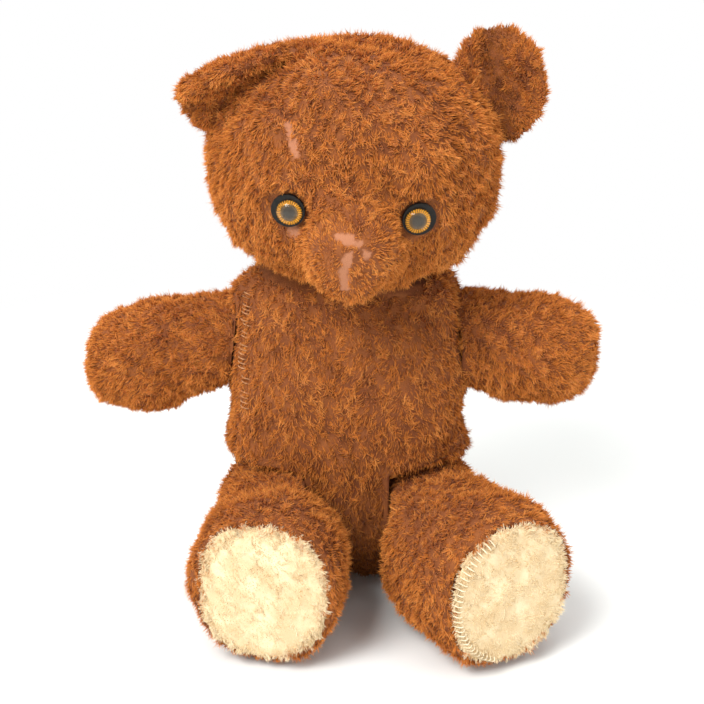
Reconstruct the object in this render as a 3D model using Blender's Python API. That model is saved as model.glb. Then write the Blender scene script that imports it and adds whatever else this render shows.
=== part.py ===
"""A seated plush teddy bear with five disc joints, built from its separate pieces, in metres and +Z up.

The bear faces -Y. Each joint is the toymaker's disc joint: a cardboard disc and a steel washer on either
side of the two cloth walls, held together by one split pin whose legs are curled over inside the torso.
"""
import math

import bmesh
import bpy
from mathutils import Matrix, Vector

# ---- clearances and cloth ---------------------------------------------------------------------------
GAP = 0.0003  # between pieces that touch
WALL = 0.0035  # backing cloth with its pressed pile
INNER_DETAIL = 0.7  # rows and columns of an inner surface, as a share of the outer one's

# ---- torso: a barrel, flat under the neck, at the shoulders and on the seat ---------------------------
TORSO_TOP = 0.205
TORSO_BOTTOM = -0.012  # below the floor, so that the seat is cut flat at zero
TORSO_BACK = 0.004  # how far its middle lies behind the neck
TORSO_HALF_WIDTHS = ((-0.012, 0.066), (0.030, 0.073), (0.070, 0.0745), (0.105, 0.0710), (0.130, 0.0740),
                     (0.180, 0.0740), (0.205, 0.070))
TORSO_HALF_DEPTHS = ((-0.012, 0.052), (0.050, 0.058), (0.090, 0.058), (0.205, 0.047))
SEAT_FRONT = -0.016  # in front of this the torso rises from the floor
TORSO_END_SQUARENESS = 5.0
TORSO_SIDE_SQUARENESS = 3.0

# ---- head ---------------------------------------------------------------------------------------------
NECK_HEIGHT = 0.198
NECK_NOD = math.radians(6)
NECK_LEAN = math.radians(4)
HEAD_HALF_WIDTH = 0.086
HEAD_HALF_DEPTH = 0.074
HEAD_HALF_HEIGHT = 0.0695
HEAD_ABOVE_NECK = 0.0640
HEAD_MIDDLE_FORWARD = 0.002
HEAD_SQUARENESS = 2.3
HEAD_ROUNDNESS = 2.2  # the squareness of its outline seen from above
HEAD_CROWDING = 0.45  # how much closer together the mesh's columns stand round the face
MUZZLE_REACH = 0.026
MUZZLE_DROP = math.radians(20)
MUZZLE_HALF_ANGLES = (math.radians(19), math.radians(17), math.radians(28))  # sideways, above, below
EAR_HALF_LENGTH = 0.033
EAR_HALF_WIDTH = 0.026
EAR_THICKNESS = 0.009
EAR_FOLD = 0.60  # how far its two lobes come forward, as a share of their width
EAR_PLACES = {  # the middle, the way its length runs and the way its width runs, from the neck
    "right": ((-0.0735, -0.006, 0.1085), (-0.93, -0.22, -0.22), (-0.20, 0.30, 0.90)),
    "left": ((0.0745, 0.004, 0.110), (-0.22, 0.10, 0.97), (1.0, 0.10, 0.20)),
}
EYE_RADIUS = 0.0085
EYE_RIM = 0.0007  # of the backing beyond the glass
EYE_GLASS_HEIGHT = 0.0048
EYE_BACKING_THICKNESS = 0.0018
EYE_HALF_SPACING = 0.035
EYE_ABOVE_NECK = 0.0560
EYE_SINK = 0.0040  # depth of its seat in the face
EYE_OUTWARD = 0.20  # how far it faces aside, for each unit forward
EYE_DOWNWARD = 0.06
EYE_SHANK_RADIUS = 0.0011
EYE_SHANK_LENGTH = 0.012

# ---- arms ---------------------------------------------------------------------------------------------
SHOULDER = (0.068, 0.000, 0.150)
SHOULDER_FORWARD = math.radians(4)
SHOULDER_UP = math.radians(7)
ARM_LENGTH = 0.088
ARM_INSIDE = 0.040  # of its rounded shape, cut off at the shoulder
ARM_ROOT_RADIUS = 0.0295
ARM_PAW_RADIUS = 0.0345
ARM_SQUARENESS = 3.2
ARM_BEND = math.radians(15)  # between the arm and its joint's axis
ARM_TURNS = {"right": math.radians(250), "left": math.radians(30)}  # where each arm rests on its disc

# ---- legs ---------------------------------------------------------------------------------------------
HIP = (0.025, -0.018, 0.044)
HIP_CLEARANCE = 0.002  # round the thigh, under the belly
HIP_SWING = math.radians(98)  # from sitting to a little past standing
HIP_INNER_REACH = 0.046  # how far in front of the hip a leg may bulge inwards
THIGH_RADIUS = 0.041
THIGH_HALF_WIDTH = 0.036
THIGH_OUT = 0.018  # from the hip's flat face to the middle of the thigh
SHIN_HALF_WIDTH = 0.0425
FOOT_HALF_HEIGHT = 0.048
FOOT_HALF_WIDTH = 0.0445
FOOT_FLOOR = 0.0003
LEG_REACH = 0.106  # from the hip forward to the middle of the sole
FOOT_OUT = {"right": 0.0455, "left": 0.0890}
LEG_STRAIGHT = 0.050  # of the foot end, before the leg turns towards its hip
LEG_SPLAY = {"right": math.radians(9), "left": math.radians(27)}
FOOT_RIM = 0.07  # how far the leg draws in round the sole, as a share of its size
PAD_HALF_HEIGHT = 0.0380
PAD_HALF_WIDTH = 0.0335
PAD_BULGE = 0.0015
INSOLE_THICKNESS = 0.0016
INSOLE_LAP = 0.0022  # how far the card reaches behind the cloth round the pad

# ---- disc joints --------------------------------------------------------------------------------------
DISC_THICKNESS = 0.0025
DISC_RADII = {"neck": 0.027, "shoulder": 0.0190, "hip": 0.0245}
WASHER_THICKNESS = 0.0010
WASHER_RADIUS = 0.0090
PIN_WIRE_RADIUS = 0.0009
PIN_STRAND = 0.00096  # from the pin's middle to the middle of each of its two wires
PIN_EYE_HALF_WIDTH = 0.0030
PIN_EYE_HEIGHT = 0.0070
PIN_CURL_RADIUS = 0.0026
PIN_CLEARANCE = 0.0004
PIN_HOLE = PIN_STRAND + PIN_WIRE_RADIUS + PIN_CLEARANCE
POCKET_DEPTH = 0.0090  # past a washer, for the pin's eye or its curls

PLUSH = (0.40, 0.105, 0.022)
CREAM = (0.80, 0.62, 0.36)
WOOL = (0.62, 0.52, 0.36)
CARD = (0.30, 0.21, 0.12)
STEEL = (0.55, 0.55, 0.56)
BLACK = (0.012, 0.010, 0.009)
AMBER = (0.55, 0.22, 0.02)


# ---- meshes -------------------------------------------------------------------------------------------
def new_piece(name, mesh_data):
    """Puts a bmesh into the scene as an object of its own."""
    bmesh.ops.recalc_face_normals(mesh_data, faces=mesh_data.faces)
    mesh = bpy.data.meshes.new(name)
    mesh_data.to_mesh(mesh)
    mesh_data.free()
    piece = bpy.data.objects.new(name, mesh)
    bpy.context.collection.objects.link(piece)
    return piece


def join_rings(mesh, lower, upper):
    """Joins two rings with triangles whose diagonals all run one way, so that nested skins stay parallel."""
    count = len(lower)
    for column in range(count):
        after = (column + 1) % count
        mesh.faces.new((lower[column], lower[after], upper[after]))
        mesh.faces.new((lower[column], upper[after], upper[column]))


def closed_surface(name, rows, columns, point):
    """A closed skin between two poles: point(t, angle) is a place on it, t running from 0 to 1."""
    mesh = bmesh.new()
    rings = []
    for row in range(1, rows):
        turn = math.tau / columns
        rings.append([mesh.verts.new(point(row / rows, turn * column)) for column in range(columns)])
    for end, ring in ((0.0, rings[0]), (1.0, rings[-1])):
        pole = mesh.verts.new(point(end, 0.0))
        for column in range(columns):
            mesh.faces.new((pole, ring[column], ring[(column + 1) % columns]))
    for lower, upper in zip(rings, rings[1:]):
        join_rings(mesh, lower, upper)
    return new_piece(name, mesh)


def prism(name, outline, low, high):
    """A straight prism: outline holds (x, y) points, and it runs from low to high along z."""
    mesh = bmesh.new()
    bottom = [mesh.verts.new((x, y, low)) for x, y in outline]
    top = [mesh.verts.new((x, y, high)) for x, y in outline]
    mesh.faces.new(bottom)
    mesh.faces.new(top)
    for index in range(len(outline)):
        after = (index + 1) % len(outline)
        mesh.faces.new((bottom[index], bottom[after], top[after], top[index]))
    return new_piece(name, mesh)


def oval(half_x, half_y, count):
    """The points of an ellipse."""
    turn = math.tau / count
    return [(half_x * math.cos(turn * n), half_y * math.sin(turn * n)) for n in range(count)]


def cylinder(name, radius, low, high, count=24):
    """A round prism along z."""
    return prism(name, oval(radius, radius, count), low, high)


def moved(piece, matrix):
    """Turns and shifts a piece's mesh."""
    piece.data.transform(matrix)
    return piece


def remove(piece):
    """Takes a helper object out of the scene."""
    bpy.data.objects.remove(piece, do_unlink=True)


def combine(piece, tool, operation="DIFFERENCE"):
    """Cuts tool away from piece, or joins it on, and throws the tool away."""
    modifier = piece.modifiers.new("combine", "BOOLEAN")
    modifier.operation = operation
    modifier.solver = "EXACT"
    modifier.object = tool
    graph = bpy.context.evaluated_depsgraph_get()
    result = bpy.data.meshes.new_from_object(piece.evaluated_get(graph))
    piece.modifiers.clear()
    piece.data = result
    remove(tool)
    return piece


def cut_flat(piece, point, normal):
    """Removes what lies on normal's side of a plane, and closes the cut with one flat face."""
    mesh = bmesh.new()
    mesh.from_mesh(piece.data)
    everything = mesh.verts[:] + mesh.edges[:] + mesh.faces[:]
    found = bmesh.ops.bisect_plane(
        mesh, geom=everything, dist=1e-6, plane_co=point, plane_no=normal, clear_outer=True
    )
    edges = [item for item in found["geom_cut"] if isinstance(item, bmesh.types.BMEdge)]
    bmesh.ops.contextual_create(mesh, geom=edges)
    bmesh.ops.recalc_face_normals(mesh, faces=mesh.faces)
    mesh.to_mesh(piece.data)
    mesh.free()
    return piece


def along(value, stations):
    """A smooth value between named stations, given as (place, value) pairs in rising order."""
    if value <= stations[0][0]:
        return stations[0][1]
    for (start, first), (end, second) in zip(stations, stations[1:]):
        if value <= end:
            share = (value - start) / (end - start)
            return first + (second - first) * share * share * (3 - 2 * share)
    return stations[-1][1]


def counts(rows, columns, inset):
    """How many rows and columns a surface takes: fewer for the inner ones, which nobody sees."""
    if inset <= 0:
        return rows, columns
    return round(rows * INNER_DETAIL), 2 * round(columns * INNER_DETAIL / 2)


def rounded(share, squareness):
    """How wide a stuffed shape is at this share of its half length, from 1 in the middle to 0 at its end."""
    return (1 - min(abs(share), 1.0) ** squareness) ** (1 / squareness)


def squared(angle, squareness):
    """A point on a unit circle that is pushed out towards a square."""
    x, y = math.cos(angle), math.sin(angle)
    reach = (abs(x) ** squareness + abs(y) ** squareness) ** (-1 / squareness)
    return x * reach, y * reach


# ---- the joints' frames: z is the axis, pointing out of the torso ---------------------------------------
def frame(origin, axis, forward):
    """A place with its z along axis and its x as near forward as it can be."""
    z = Vector(axis).normalized()
    x = (Vector(forward) - z * z.dot(Vector(forward))).normalized()
    turn = Matrix((x, z.cross(x), z)).transposed().to_4x4()
    return Matrix.Translation(origin) @ turn


def neck_frame():
    """The neck joint: its axis nods forward and leans a little to the bear's left."""
    axis = (math.sin(NECK_LEAN), -math.sin(NECK_NOD), math.cos(NECK_NOD) * math.cos(NECK_LEAN))
    return frame((0, 0, NECK_HEIGHT), axis, (1, 0, 0))


def shoulder_frame(side):
    """A shoulder joint: its axis points outwards, a little forward and up."""
    axis = (side * math.cos(SHOULDER_FORWARD), -math.sin(SHOULDER_FORWARD), math.sin(SHOULDER_UP))
    return frame((side * SHOULDER[0], SHOULDER[1], SHOULDER[2]), axis, (0, -1, 0))


def hip_frame(side):
    """A hip joint: its axis runs straight across the bear."""
    return frame((side * HIP[0], HIP[1], HIP[2]), (side, 0, 0), (0, -1, 0))


SIDES = (("right", -1), ("left", 1))
JOINTS = [("neck", "neck", neck_frame())]
for side_name, side_sign in SIDES:
    JOINTS.append((f"{side_name}_shoulder", "shoulder", shoulder_frame(side_sign)))
    JOINTS.append((f"{side_name}_hip", "hip", hip_frame(side_sign)))


# ---- the stuffed shapes, each smaller all round by inset --------------------------------------------------
def barrel(inset):
    """The torso's barrel before anything is cut from it."""
    middle = (TORSO_TOP + TORSO_BOTTOM) / 2
    half_height = (TORSO_TOP - TORSO_BOTTOM) / 2 - inset

    def point(t, angle):
        share = -math.cos(math.pi * t)
        height = middle + half_height * share
        size = rounded(share, TORSO_END_SQUARENESS)
        across, deep = squared(angle, TORSO_SIDE_SQUARENESS)
        x = (along(height, TORSO_HALF_WIDTHS) - inset) * size * across
        y = (along(height, TORSO_HALF_DEPTHS) - inset) * size * deep + TORSO_BACK
        return Vector((x, y, height))

    return closed_surface("barrel", *counts(17, 24, inset), point)


def thigh_room(side, inset):
    """What a hip takes out of the torso: the thigh's circle and all that the leg sweeps."""
    radius = THIGH_RADIUS + HIP_CLEARANCE + inset
    far = 0.30
    back = math.pi - (HIP_SWING - math.pi / 2)
    arc = [math.pi / 2 + (back - math.pi / 2) * n / 10 for n in range(11)]
    outline = [(radius * math.cos(a), radius * math.sin(a)) for a in arc]
    last_x, last_y = outline[-1]
    outline.append((last_x + far * math.cos(-HIP_SWING), last_y + far * math.sin(-HIP_SWING)))
    outline += [(far, -far), (far, radius)]
    room = prism("thigh_room", outline, -inset, far)
    upright = Matrix(((0, 0, side, side * HIP[0]), (-1, 0, 0, HIP[1]), (0, 1, 0, HIP[2]), (0, 0, 0, 1)))
    return moved(room, upright)


def torso_solid(inset):
    """The torso's outer shape: flat at the neck, the shoulders and the seat, and cut away for the legs."""
    solid = barrel(inset)
    cut_flat(solid, Vector((0, 0, inset)), Vector((0, 0, -1)))
    under = Vector((0, -1, -1)).normalized()
    cut_flat(solid, Vector((0, SEAT_FRONT, 0)) - under * inset, under)
    for _, kind, place in JOINTS:
        axis = place.col[2].to_3d()
        if kind != "hip":
            cut_flat(solid, place.translation - axis * inset, axis)
    for _, side in SIDES:
        new_room = thigh_room(side, inset)
        face_outwards(new_room)
        combine(solid, new_room)
    return solid


def face_outwards(piece):
    """Faces a closed mesh outwards again, after a mirroring move."""
    mesh = bmesh.new()
    mesh.from_mesh(piece.data)
    bmesh.ops.recalc_face_normals(mesh, faces=mesh.faces)
    mesh.to_mesh(piece.data)
    mesh.free()


def head_reach(direction):
    """How far the head's surface lies from its middle: a squared ball with a soft swelling, the muzzle."""
    across = (abs(direction.x) / HEAD_HALF_WIDTH) ** HEAD_ROUNDNESS
    across += (abs(direction.y) / HEAD_HALF_DEPTH) ** HEAD_ROUNDNESS
    upright = (abs(direction.z) / HEAD_HALF_HEIGHT) ** HEAD_SQUARENESS
    reach = (across ** (HEAD_SQUARENESS / HEAD_ROUNDNESS) + upright) ** (-1 / HEAD_SQUARENESS)
    if direction.y >= 0:
        return reach
    level = math.atan2(direction.z, math.hypot(direction.x, direction.y)) + MUZZLE_DROP
    turn = math.atan2(direction.x, -direction.y)
    sideways, above, below = MUZZLE_HALF_ANGLES
    away = (turn / sideways) ** 2 + (level / (above if level > 0 else below)) ** 2
    return reach + MUZZLE_REACH * math.exp(-(away**1.6))


def head_point(direction, inset):
    """The place on the head's surface in this direction from its middle, in the neck's frame."""
    middle = Vector((0, -HEAD_MIDDLE_FORWARD, HEAD_ABOVE_NECK))
    return middle + direction * (head_reach(direction) - inset)


def eye_place(side):
    """An eye's frame on the face: z looks out of the head, and its origin is the floor of the eye's seat."""
    out = Vector((side * EYE_OUTWARD, -1.0, -EYE_DOWNWARD)).normalized()
    middle = Vector((0, -HEAD_MIDDLE_FORWARD, HEAD_ABOVE_NECK))
    toward = Vector((side * EYE_HALF_SPACING, 0, EYE_ABOVE_NECK)) - Vector((0, 0, HEAD_ABOVE_NECK))
    deep = HEAD_HALF_DEPTH
    for _ in range(8):
        reached = head_reach(Vector((toward.x, -deep, toward.z)).normalized())
        deep = math.sqrt(max(reached**2 - toward.x**2 - toward.z**2, 0))
    surface = middle + Vector((toward.x, -deep, toward.z))
    return frame(surface - out * EYE_SINK, out, (0, 0, 1))


def head_solid(inset):
    """The head's outer shape in the neck's frame, flat on the neck and with a seat for each eye."""

    def point(t, angle):
        level = math.pi * (t - 0.5)
        flat = math.cos(level)
        turn = angle - HEAD_CROWDING * math.cos(angle)
        return head_point(Vector((flat * math.cos(turn), flat * math.sin(turn), math.sin(level))), inset)

    solid = closed_surface("head", *counts(18, 28, inset), point)
    cut_flat(solid, Vector((0, 0, GAP + inset)), Vector((0, 0, -1)))
    for _, side in SIDES:
        seat = cylinder("seat", EYE_RADIUS + EYE_RIM + GAP + inset, -inset, 0.03, 18)
        combine(solid, moved(seat, eye_place(side)))
    return solid


def arm_solid(inset):
    """An arm in its shoulder's frame: a club that leaves the joint at an angle, flat on the shoulder."""
    middle = (ARM_LENGTH - ARM_INSIDE) / 2
    half_length = (ARM_LENGTH + ARM_INSIDE) / 2 - inset
    way = Vector((math.sin(ARM_BEND), 0, math.cos(ARM_BEND)))
    side = Vector((0, 1, 0))
    up = way.cross(side)

    def point(t, angle):
        share = -math.cos(math.pi * t)
        place = middle + half_length * share
        radius = along(place, ((0.0, ARM_ROOT_RADIUS), (ARM_LENGTH * 0.7, ARM_PAW_RADIUS))) - inset
        radius *= rounded(share, ARM_SQUARENESS)
        return way * place + side * radius * math.cos(angle) + up * radius * math.sin(angle)

    solid = closed_surface("arm", *counts(13, 18, inset), point)
    return cut_flat(solid, Vector((0, 0, GAP + inset)), Vector((0, 0, -1)))


def leg_line(side_name, share):
    """The leg's middle line seen from above: (forward, outward) from the hip, and the way that it points."""
    splay = LEG_SPLAY[side_name]
    end = Vector((LEG_REACH, FOOT_OUT[side_name] - HIP[0]))
    start = Vector((-THIGH_RADIUS, THIGH_OUT))
    second = Vector((0.015, THIGH_OUT))
    third = end - Vector((math.cos(splay), math.sin(splay))) * LEG_STRAIGHT
    rest = 1 - share
    place = start * rest**3 + second * 3 * rest**2 * share + third * 3 * rest * share**2 + end * share**3
    way = (second - start) * rest**2 + (third - second) * 2 * rest * share + (end - third) * share**2
    return place, way.normalized()


def foot_place(side_name, side):
    """The sole's frame, from the hip: z looks out of the sole, and x is up."""
    place, way = leg_line(side_name, 1.0)
    height = FOOT_HALF_HEIGHT + FOOT_FLOOR - HIP[2]
    return frame((side * place.y, -place.x, height), (side * way.y, -way.x, 0), (0, 0, 1))


def leg_solid(side_name, side, inset):
    """A leg from its hip: round where it turns under the belly, and flat at the sole."""

    def point(t, angle):
        share = t**1.6
        place, way = leg_line(side_name, share)
        forward = place.x
        tip = rounded(max(-forward, 0) / THIGH_RADIUS, 2.0)
        grow = along(forward, ((0.036, 0.0), (LEG_REACH - 0.015, 1.0)))
        half_height = THIGH_RADIUS + (FOOT_HALF_HEIGHT - THIGH_RADIUS) * grow - inset
        widths = ((0.0, THIGH_HALF_WIDTH), (0.055, SHIN_HALF_WIDTH - 0.002), (LEG_REACH, FOOT_HALF_WIDTH))
        half_width = along(forward, widths) - inset
        rim = 1 - FOOT_RIM * along(share, ((0.86, 0.0), (1.0, 1.0))) ** 2
        lift = (FOOT_HALF_HEIGHT + FOOT_FLOOR - HIP[2]) * grow
        across, upward = squared(angle, 2.2)
        outward = half_width * tip**0.8 * rim * across
        spot = place + Vector((-way.y, way.x)) * outward
        if t == 0.0 or t == 1.0:
            spot = place + way * (inset if t == 0.0 else -inset)
            return Vector((side * spot.y, -spot.x, lift))
        spot = spot - way * (inset * along(share, ((0.86, 0.0), (1.0, 1.0))))
        return Vector((side * spot.y, -spot.x, lift + half_height * tip * rim * upward))

    solid = ended_surface("leg", *counts(15, 20, inset), point)
    behind = -THIGH_RADIUS - 0.02
    ahead = HIP_INNER_REACH + inset
    beside = 0.07
    box = prism("box", ((behind, -beside), (ahead, -beside), (ahead, beside), (behind, beside)), -0.1, 0.0)
    thick = GAP + inset
    upright = Matrix(((0, 0, side, side * thick), (-1, 0, 0, 0), (0, 1, 0, 0), (0, 0, 0, 1)))
    moved(box, upright)
    face_outwards(box)
    return combine(solid, box)


def ended_surface(name, rows, columns, point):
    """A skin with a pole at its start and one flat face over its last ring."""
    mesh = bmesh.new()
    turn = math.tau / columns
    pole = mesh.verts.new(point(0.0, 0.0))
    rings = []
    for row in range(1, rows + 1):
        share = min(row / rows, 0.9999999)
        rings.append([mesh.verts.new(point(share, turn * column)) for column in range(columns)])
    for column in range(columns):
        mesh.faces.new((pole, rings[0][column], rings[0][(column + 1) % columns]))
    for lower, upper in zip(rings, rings[1:]):
        join_rings(mesh, lower, upper)
    mesh.faces.new(rings[-1])
    return new_piece(name, mesh)


# ---- the disc joint's parts, along z in a joint's frame ---------------------------------------------------
def levels(outward):
    """Where a joint's disc, washer and pocket start and end on one side of it; outward is the limb's."""
    start = (GAP if outward else 0) + WALL + GAP
    disc = (start, start + DISC_THICKNESS)
    washer = (disc[1] + GAP, disc[1] + GAP + WASHER_THICKNESS)
    pocket = washer[1] + POCKET_DEPTH
    return disc, washer, pocket


def flat_ring(name, radius, low, high, count):
    """A disc with the pin's hole through it."""
    ring = cylinder(name, radius, low, high, count)
    return combine(ring, cylinder("hole", PIN_HOLE, low - 0.01, high + 0.01, 10))


def joint_pocket(kind, outward):
    """The room that a joint's parts take up in the filling on one side of it."""
    disc, washer, pocket = levels(outward)
    wide = cylinder("wide", DISC_RADII[kind] + GAP, -0.02, disc[1] + GAP, 20)
    deep = cylinder("deep", WASHER_RADIUS + GAP, -0.02, pocket, 14)
    both = combine(wide, deep, "UNION")
    return both if outward else moved(both, Matrix.Rotation(math.pi, 4, "X"))


def split_pin(name):
    """One bent wire: up one side, round the eye, down the other, with both ends curled outwards."""
    limb_washer = levels(True)[1]
    torso_washer = levels(False)[1]
    top = limb_washer[1] + GAP + PIN_WIRE_RADIUS
    bottom = -torso_washer[1] - GAP - PIN_WIRE_RADIUS
    eye = []
    for step in range(11):
        turn = math.pi * step / 10
        swell = (PIN_EYE_HALF_WIDTH - PIN_STRAND) * math.sin(2 * turn)
        eye.append((PIN_STRAND * math.cos(turn) + swell, top + PIN_EYE_HEIGHT * math.sin(turn)))
    curl = []
    for step in range(6):
        turn = math.radians(150) * step / 5
        x = PIN_STRAND + PIN_CURL_RADIUS * (1 - math.cos(turn))
        curl.append((x, bottom - PIN_CURL_RADIUS * math.sin(turn)))
    route = curl[::-1] + eye + [(-x, z) for x, z in curl]
    curve = bpy.data.curves.new(name, "CURVE")
    curve.dimensions = "3D"
    curve.bevel_depth = PIN_WIRE_RADIUS
    curve.bevel_resolution = 1
    curve.use_fill_caps = True
    spline = curve.splines.new("POLY")
    spline.points.add(len(route) - 1)
    for spot, (x, z) in zip(spline.points, route):
        spot.co = (x, 0, z, 1)
    pin = bpy.data.objects.new(name, curve)
    bpy.context.collection.objects.link(pin)
    return pin


# ---- finishing and placing --------------------------------------------------------------------------------
def finish(piece, name, colour, roughness, metallic=0.0, smooth=True):
    """Names a piece, gives it its own material and shades it."""
    piece.name = name
    piece.data.name = name
    material = bpy.data.materials.new(name)
    material.use_nodes = True
    shader = material.node_tree.nodes["Principled BSDF"]
    shader.inputs["Base Color"].default_value = (*colour, 1.0)
    shader.inputs["Roughness"].default_value = roughness
    shader.inputs["Metallic"].default_value = metallic
    piece.data.materials.clear()
    piece.data.materials.append(material)
    if smooth and piece.type == "MESH":
        piece.data.shade_smooth()
        piece.data.set_sharp_from_angle(angle=math.radians(40))
    return piece


def empty(name, place):
    """A joint's empty, standing on its axis."""
    joint = bpy.data.objects.new(name, None)
    joint.empty_display_size = 0.02
    bpy.context.collection.objects.link(joint)
    joint.matrix_world = place
    return joint


def attach(piece, parent, place=None):
    """Hangs a piece from an empty; place is its own frame when that isn't the empty's."""
    piece.parent = parent
    if place is not None:
        piece.matrix_local = parent.matrix_world.inverted() @ place
    return piece


def cover_from(solid, name, holes):
    """A cloth cover: solid(0) with solid(WALL) taken out of it, and the holes' tools cut through."""
    cover = combine(solid(0.0), solid(WALL))
    for hole in holes:
        combine(cover, hole)
    return finish(cover, name, PLUSH, 0.95)


def pin_hole(place=None):
    """A tool for the pin's hole through the cloth, in a joint's frame or moved to place."""
    tool = cylinder("pin_hole", PIN_HOLE, -0.02, 0.02, 10)
    return moved(tool, place) if place is not None else tool


def build_torso(root):
    """The torso's cover and filling, and the inner disc and washer of each of the five joints."""
    holes = [pin_hole(place) for _, _, place in JOINTS]
    attach(cover_from(torso_solid, "torso_cover", holes), root)
    filling = torso_solid(WALL + GAP)
    for _, kind, place in JOINTS:
        combine(filling, moved(joint_pocket(kind, False), place))
    attach(finish(filling, "torso_filling", WOOL, 1.0), root)
    disc, washer, _ = levels(False)
    for name, kind, place in JOINTS:
        inner = flat_ring("disc", DISC_RADII[kind], -disc[1], -disc[0], 20)
        attach(finish(inner, f"{name}_inner_disc", CARD, 0.8), root, place)
        steel = flat_ring("washer", WASHER_RADIUS, -washer[1], -washer[0], 14)
        attach(finish(steel, f"{name}_inner_washer", STEEL, 0.35, 1.0), root, place)


def build_joint_side(joint, name, kind, place):
    """The limb's half of a joint: its disc, its washer and the split pin."""
    disc, washer, _ = levels(True)
    outer = flat_ring("disc", DISC_RADII[kind], disc[0], disc[1], 20)
    attach(finish(outer, f"{name}_outer_disc", CARD, 0.8), joint, place)
    steel = flat_ring("washer", WASHER_RADIUS, washer[0], washer[1], 14)
    attach(finish(steel, f"{name}_outer_washer", STEEL, 0.35, 1.0), joint, place)
    attach(finish(split_pin("pin"), f"{name}_split_pin", STEEL, 0.3, 1.0), joint, place)


def ear(side_name):
    """A cupped ear in the neck's frame: a padded oval, folded lengthways and cut to the head's curve."""
    middle, length, width = (Vector(values) for values in EAR_PLACES[side_name])
    length = length.normalized()
    width = (width - length * length.dot(width)).normalized()
    front = length.cross(width)
    if front.y > 0:
        front = -front

    def point(t, angle):
        level = math.pi * (t - 0.5)
        round_x, round_y = squared(angle, 2.3)
        out_x, out_y = math.cos(level) * round_x, math.cos(level) * round_y
        lobe = EAR_FOLD * EAR_HALF_WIDTH * (out_y * out_y + 0.05) ** 0.65
        thick = 0.5 * EAR_THICKNESS * math.copysign(abs(math.sin(level)) ** 0.7, math.sin(level))
        flat = length * EAR_HALF_LENGTH * out_x + width * EAR_HALF_WIDTH * out_y
        return middle + flat + front * (lobe + thick)

    shape = closed_surface("ear", 10, 18, point)
    return combine(shape, head_solid(-GAP))


def build_eye(joint, side_name, side, place):
    """A glass dome on a black backing, whose wire shank goes through the cloth."""
    dome_low = EYE_BACKING_THICKNESS + 2 * GAP
    rows = []
    for step in range(7):
        turn = math.radians(90) * step / 6
        rows.append((EYE_RADIUS * math.cos(turn), dome_low + 0.0006 + EYE_GLASS_HEIGHT * math.sin(turn)))

    def dome(t, angle):
        if t == 0.0:
            return Vector((0, 0, dome_low))
        if t == 1.0:
            return Vector((0, 0, rows[-1][1]))
        index = round(t * 8)
        radius, height = (EYE_RADIUS - 0.0003, dome_low) if index == 1 else rows[index - 2]
        return Vector((radius * math.cos(angle), radius * math.sin(angle), height))

    glass = closed_surface("glass", 8, 18, dome)
    attach(finish(glass, f"{side_name}_eye_glass", AMBER, 0.05), joint, place)
    backing = cylinder("backing", EYE_RADIUS + EYE_RIM, GAP, GAP + EYE_BACKING_THICKNESS, 18)
    shank = cylinder("shank", EYE_SHANK_RADIUS, -EYE_SHANK_LENGTH, 2 * GAP, 8)
    backing = combine(backing, shank, "UNION")
    attach(finish(backing, f"{side_name}_eye_backing", BLACK, 0.3), joint, place)


def shank_hole(place):
    """A tool for an eye shank's hole, through the cloth and into the filling."""
    tool = cylinder("shank_hole", EYE_SHANK_RADIUS + GAP, -EYE_SHANK_LENGTH - GAP, 0.01, 8)
    return moved(tool, place)


def build_head():
    """The head on the neck: cover, filling, ears and eyes."""
    name, kind, place = JOINTS[0]
    joint = empty("neck_joint", place)
    seats = [eye_place(side) for _, side in SIDES]
    holes = [pin_hole()] + [shank_hole(seat) for seat in seats]
    attach(cover_from(head_solid, "head_cover", holes), joint)
    filling = head_solid(WALL + GAP)
    combine(filling, joint_pocket(kind, True))
    for seat in seats:
        combine(filling, shank_hole(seat))
    attach(finish(filling, "head_filling", WOOL, 1.0), joint)
    for (side_name, side), seat in zip(SIDES, seats):
        attach(finish(ear(side_name), f"{side_name}_ear", PLUSH, 0.95), joint)
        build_eye(joint, side_name, side, place @ seat)
    build_joint_side(joint, name, kind, place)


def build_arm(side_name, name, place):
    """An arm on its shoulder, turned on its disc to where it rests."""
    joint = empty(f"{name}_joint", place)
    turned = place @ Matrix.Rotation(ARM_TURNS[side_name], 4, "Z")
    attach(cover_from(arm_solid, f"{side_name}_arm_cover", [pin_hole()]), joint, turned)
    filling = combine(arm_solid(WALL + GAP), joint_pocket("shoulder", True))
    attach(finish(filling, f"{side_name}_arm_filling", WOOL, 1.0), joint, turned)
    build_joint_side(joint, name, "shoulder", place)


def sole_plate(half_height, half_width, low, high, bulge=0.0):
    """An oval plate in the sole's frame; bulge swells its outer face."""
    plate = prism("plate", oval(half_height, half_width, 24), low, high)
    if not bulge:
        return plate
    mesh = bmesh.new()
    mesh.from_mesh(plate.data)
    top = max(mesh.faces, key=lambda face: face.calc_center_median().z)
    bmesh.ops.inset_region(mesh, faces=[top], thickness=0.35 * half_width, depth=bulge)
    mesh.to_mesh(plate.data)
    mesh.free()
    return plate


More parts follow.
